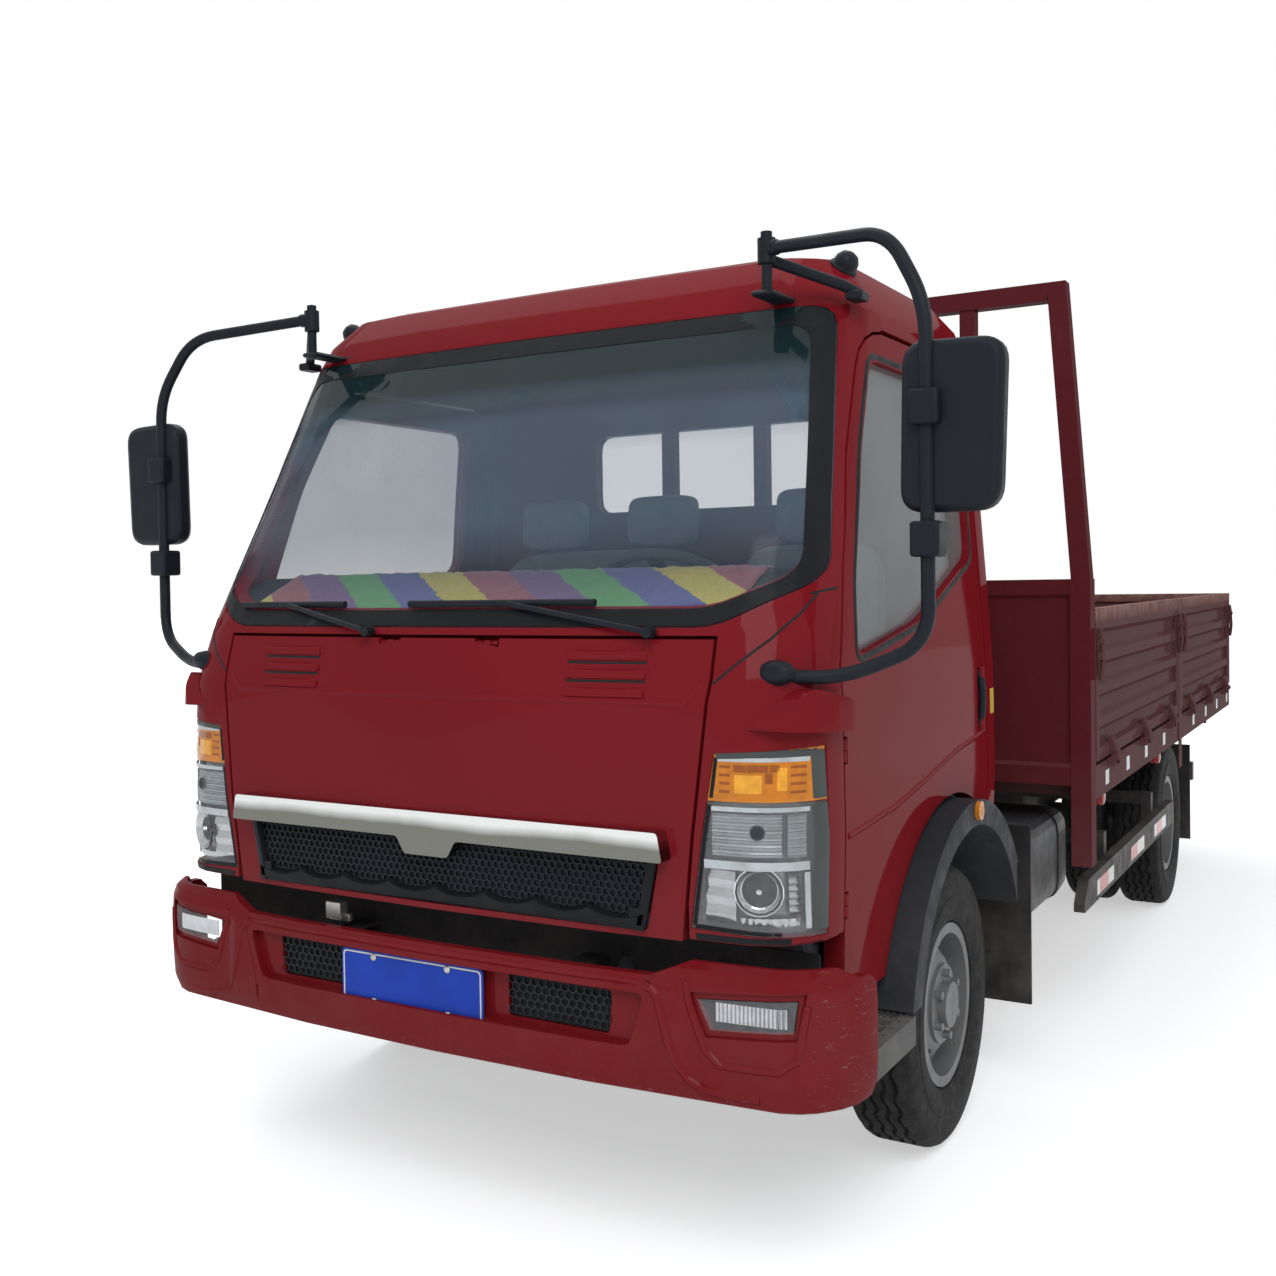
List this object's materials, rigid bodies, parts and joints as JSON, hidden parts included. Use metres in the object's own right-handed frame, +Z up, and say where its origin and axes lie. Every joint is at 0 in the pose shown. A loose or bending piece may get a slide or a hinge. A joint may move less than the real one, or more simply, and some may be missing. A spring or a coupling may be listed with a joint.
{
  "type": "drop-side flatbed truck",
  "caption": "Cab-over light truck with a drop-side flatbed and headboard gantry; the cab tilts, lid, doors and boards open, the front wheels steer and all wheels roll.",
  "frame": {"origin": "ground level under the middle of the truck's length and width", "axes": "+X to the vehicle's left, +Y to the rear, +Z up; the front faces -Y"},
  "size_m": [2.669, 5.99, 2.53],
  "materials": {
    "red_paint": "gloss",
    "faded_red": "satin",
    "frame_black": "satin",
    "black_plastic": "satin",
    "grey_plastic": "matte",
    "cast": "matte",
    "steel": "satin",
    "chrome": "mirror",
    "glass": "gloss",
    "lamp_clear": "gloss",
    "lamp_amber": "gloss",
    "lamp_red": "gloss",
    "seat_fabric": "matte",
    "tyre": "matte"
  },
  "bodies": {
    "chassis": {"frame": "frame_black", "leaf_springs": "cast", "front_axle": "cast", "rear_axle": "cast", "driveline": "cast", "fuel_tank": "grey_plastic", "battery_box": "black_plastic", "front_bumper": "red_paint", "bumper_grilles": "black_plastic", "lamps": "lamp_clear", "cab_steps": "grey_plastic", "mudflaps": "black_plastic", "side_guards": "frame_black", "bed_floor": "faded_red", "headboard": "red_paint", "bed_posts": "faded_red"},
    "cab": {"cab_floor": "grey_plastic", "cab_front": "red_paint", "cab_roof": "red_paint", "cab_rear": "red_paint", "cab_sides": "red_paint", "cab_glass": "glass", "headlamps": "lamp_clear", "indicators": "lamp_amber", "corner_vanes": "red_paint", "wheel_arches": "black_plastic", "mirrors": "black_plastic", "wipers": "black_plastic", "dashboard": "grey_plastic", "steering_wheel": "black_plastic", "seats": "seat_fabric"},
    "lid": {"front_panel": "red_paint", "front_grille": "black_plastic", "chrome_bar": "chrome"},
    "left_door": {"door_left": "red_paint", "door_left_glass": "glass"},
    "right_door": {"door_right": "red_paint", "door_right_glass": "glass"},
    "left_front_board": {"board_left_front": "faded_red"},
    "left_rear_board": {"board_left_rear": "faded_red"},
    "right_front_board": {"board_right_front": "faded_red"},
    "right_rear_board": {"board_right_rear": "faded_red"},
    "tail_board": {"tailgate": "faded_red"},
    "left_knuckle": {"knuckle_left": "cast"},
    "right_knuckle": {"knuckle_right": "cast"},
    "track_rod": {"tie_rod": "steel"},
    "front_left_wheel": {"front_left_tyre": "tyre", "front_left_rim": "steel"},
    "front_right_wheel": {"front_right_tyre": "tyre", "front_right_rim": "steel"},
    "rear_left_wheels": {"rear_left_tyres": "tyre", "rear_left_rims": "steel"},
    "rear_right_wheels": {"rear_right_tyres": "tyre", "rear_right_rims": "steel"}
  },
  "joints": [
    {"name": "cab_tilt", "type": "hinge", "parent": "chassis", "child": "cab", "pos_m": [0, -2.875, 0.52], "axis": [1, 0, 0], "range_deg": [0, 45]},
    {"name": "lid_lift", "type": "hinge", "parent": "cab", "child": "lid", "pos_m": [0, -2.91, 1.424], "axis": [-1, 0, 0], "range_deg": [0, 75]},
    {"name": "left_door_swing", "type": "hinge", "parent": "cab", "child": "left_door", "pos_m": [0.962, -2.685, 1.4], "axis": [0, 0, -1], "range_deg": [0, 70]},
    {"name": "right_door_swing", "type": "hinge", "parent": "cab", "child": "right_door", "pos_m": [-0.962, -2.685, 1.4], "axis": [0, 0, 1], "range_deg": [0, 70]},
    {"name": "steer_left", "type": "hinge", "parent": "chassis", "child": "left_knuckle", "pos_m": [0.7, -1.865, 0.35], "axis": [0, 0, 1], "range_deg": [-35, 35]},
    {"name": "steer_right", "type": "hinge", "parent": "chassis", "child": "right_knuckle", "pos_m": [-0.7, -1.865, 0.35], "axis": [0, 0, 1], "range_deg": [-35, 35]},
    {"name": "track_rod_pivot", "type": "hinge", "parent": "left_knuckle", "child": "track_rod", "pos_m": [0.7, -1.645, 0.27], "axis": [0, 0, 1], "range_deg": [-35, 35]},
    {"name": "front_left_roll", "type": "hinge", "parent": "left_knuckle", "child": "front_left_wheel", "pos_m": [0.867, -1.865, 0.383], "axis": [1, 0, 0], "continuous": true},
    {"name": "front_right_roll", "type": "hinge", "parent": "right_knuckle", "child": "front_right_wheel", "pos_m": [-0.867, -1.865, 0.383], "axis": [1, 0, 0], "continuous": true},
    {"name": "rear_left_roll", "type": "hinge", "parent": "chassis", "child": "rear_left_wheels", "pos_m": [0.845, 1.415, 0.383], "axis": [1, 0, 0], "continuous": true},
    {"name": "rear_right_roll", "type": "hinge", "parent": "chassis", "child": "rear_right_wheels", "pos_m": [-0.845, 1.415, 0.383], "axis": [1, 0, 0], "continuous": true},
    {"name": "left_front_board_drop", "type": "hinge", "parent": "chassis", "child": "left_front_board", "pos_m": [1.178, 0, 0.94], "axis": [0, 1, 0], "range_deg": [0, 180]},
    {"name": "left_rear_board_drop", "type": "hinge", "parent": "chassis", "child": "left_rear_board", "pos_m": [1.178, 0, 0.94], "axis": [0, 1, 0], "range_deg": [0, 180]},
    {"name": "right_front_board_drop", "type": "hinge", "parent": "chassis", "child": "right_front_board", "pos_m": [-1.178, 0, 0.94], "axis": [0, -1, 0], "range_deg": [0, 180]},
    {"name": "right_rear_board_drop", "type": "hinge", "parent": "chassis", "child": "right_rear_board", "pos_m": [-1.178, 0, 0.94], "axis": [0, -1, 0], "range_deg": [0, 180]},
    {"name": "tail_board_drop", "type": "hinge", "parent": "chassis", "child": "tail_board", "pos_m": [0, 2.982, 0.94], "axis": [-1, 0, 0], "range_deg": [0, 180]}
  ],
  "couplings": [
    {"joint": "steer_right", "follows": "steer_left", "ratio": 1},
    {"joint": "track_rod_pivot", "follows": "steer_left", "ratio": -1}
  ]
}
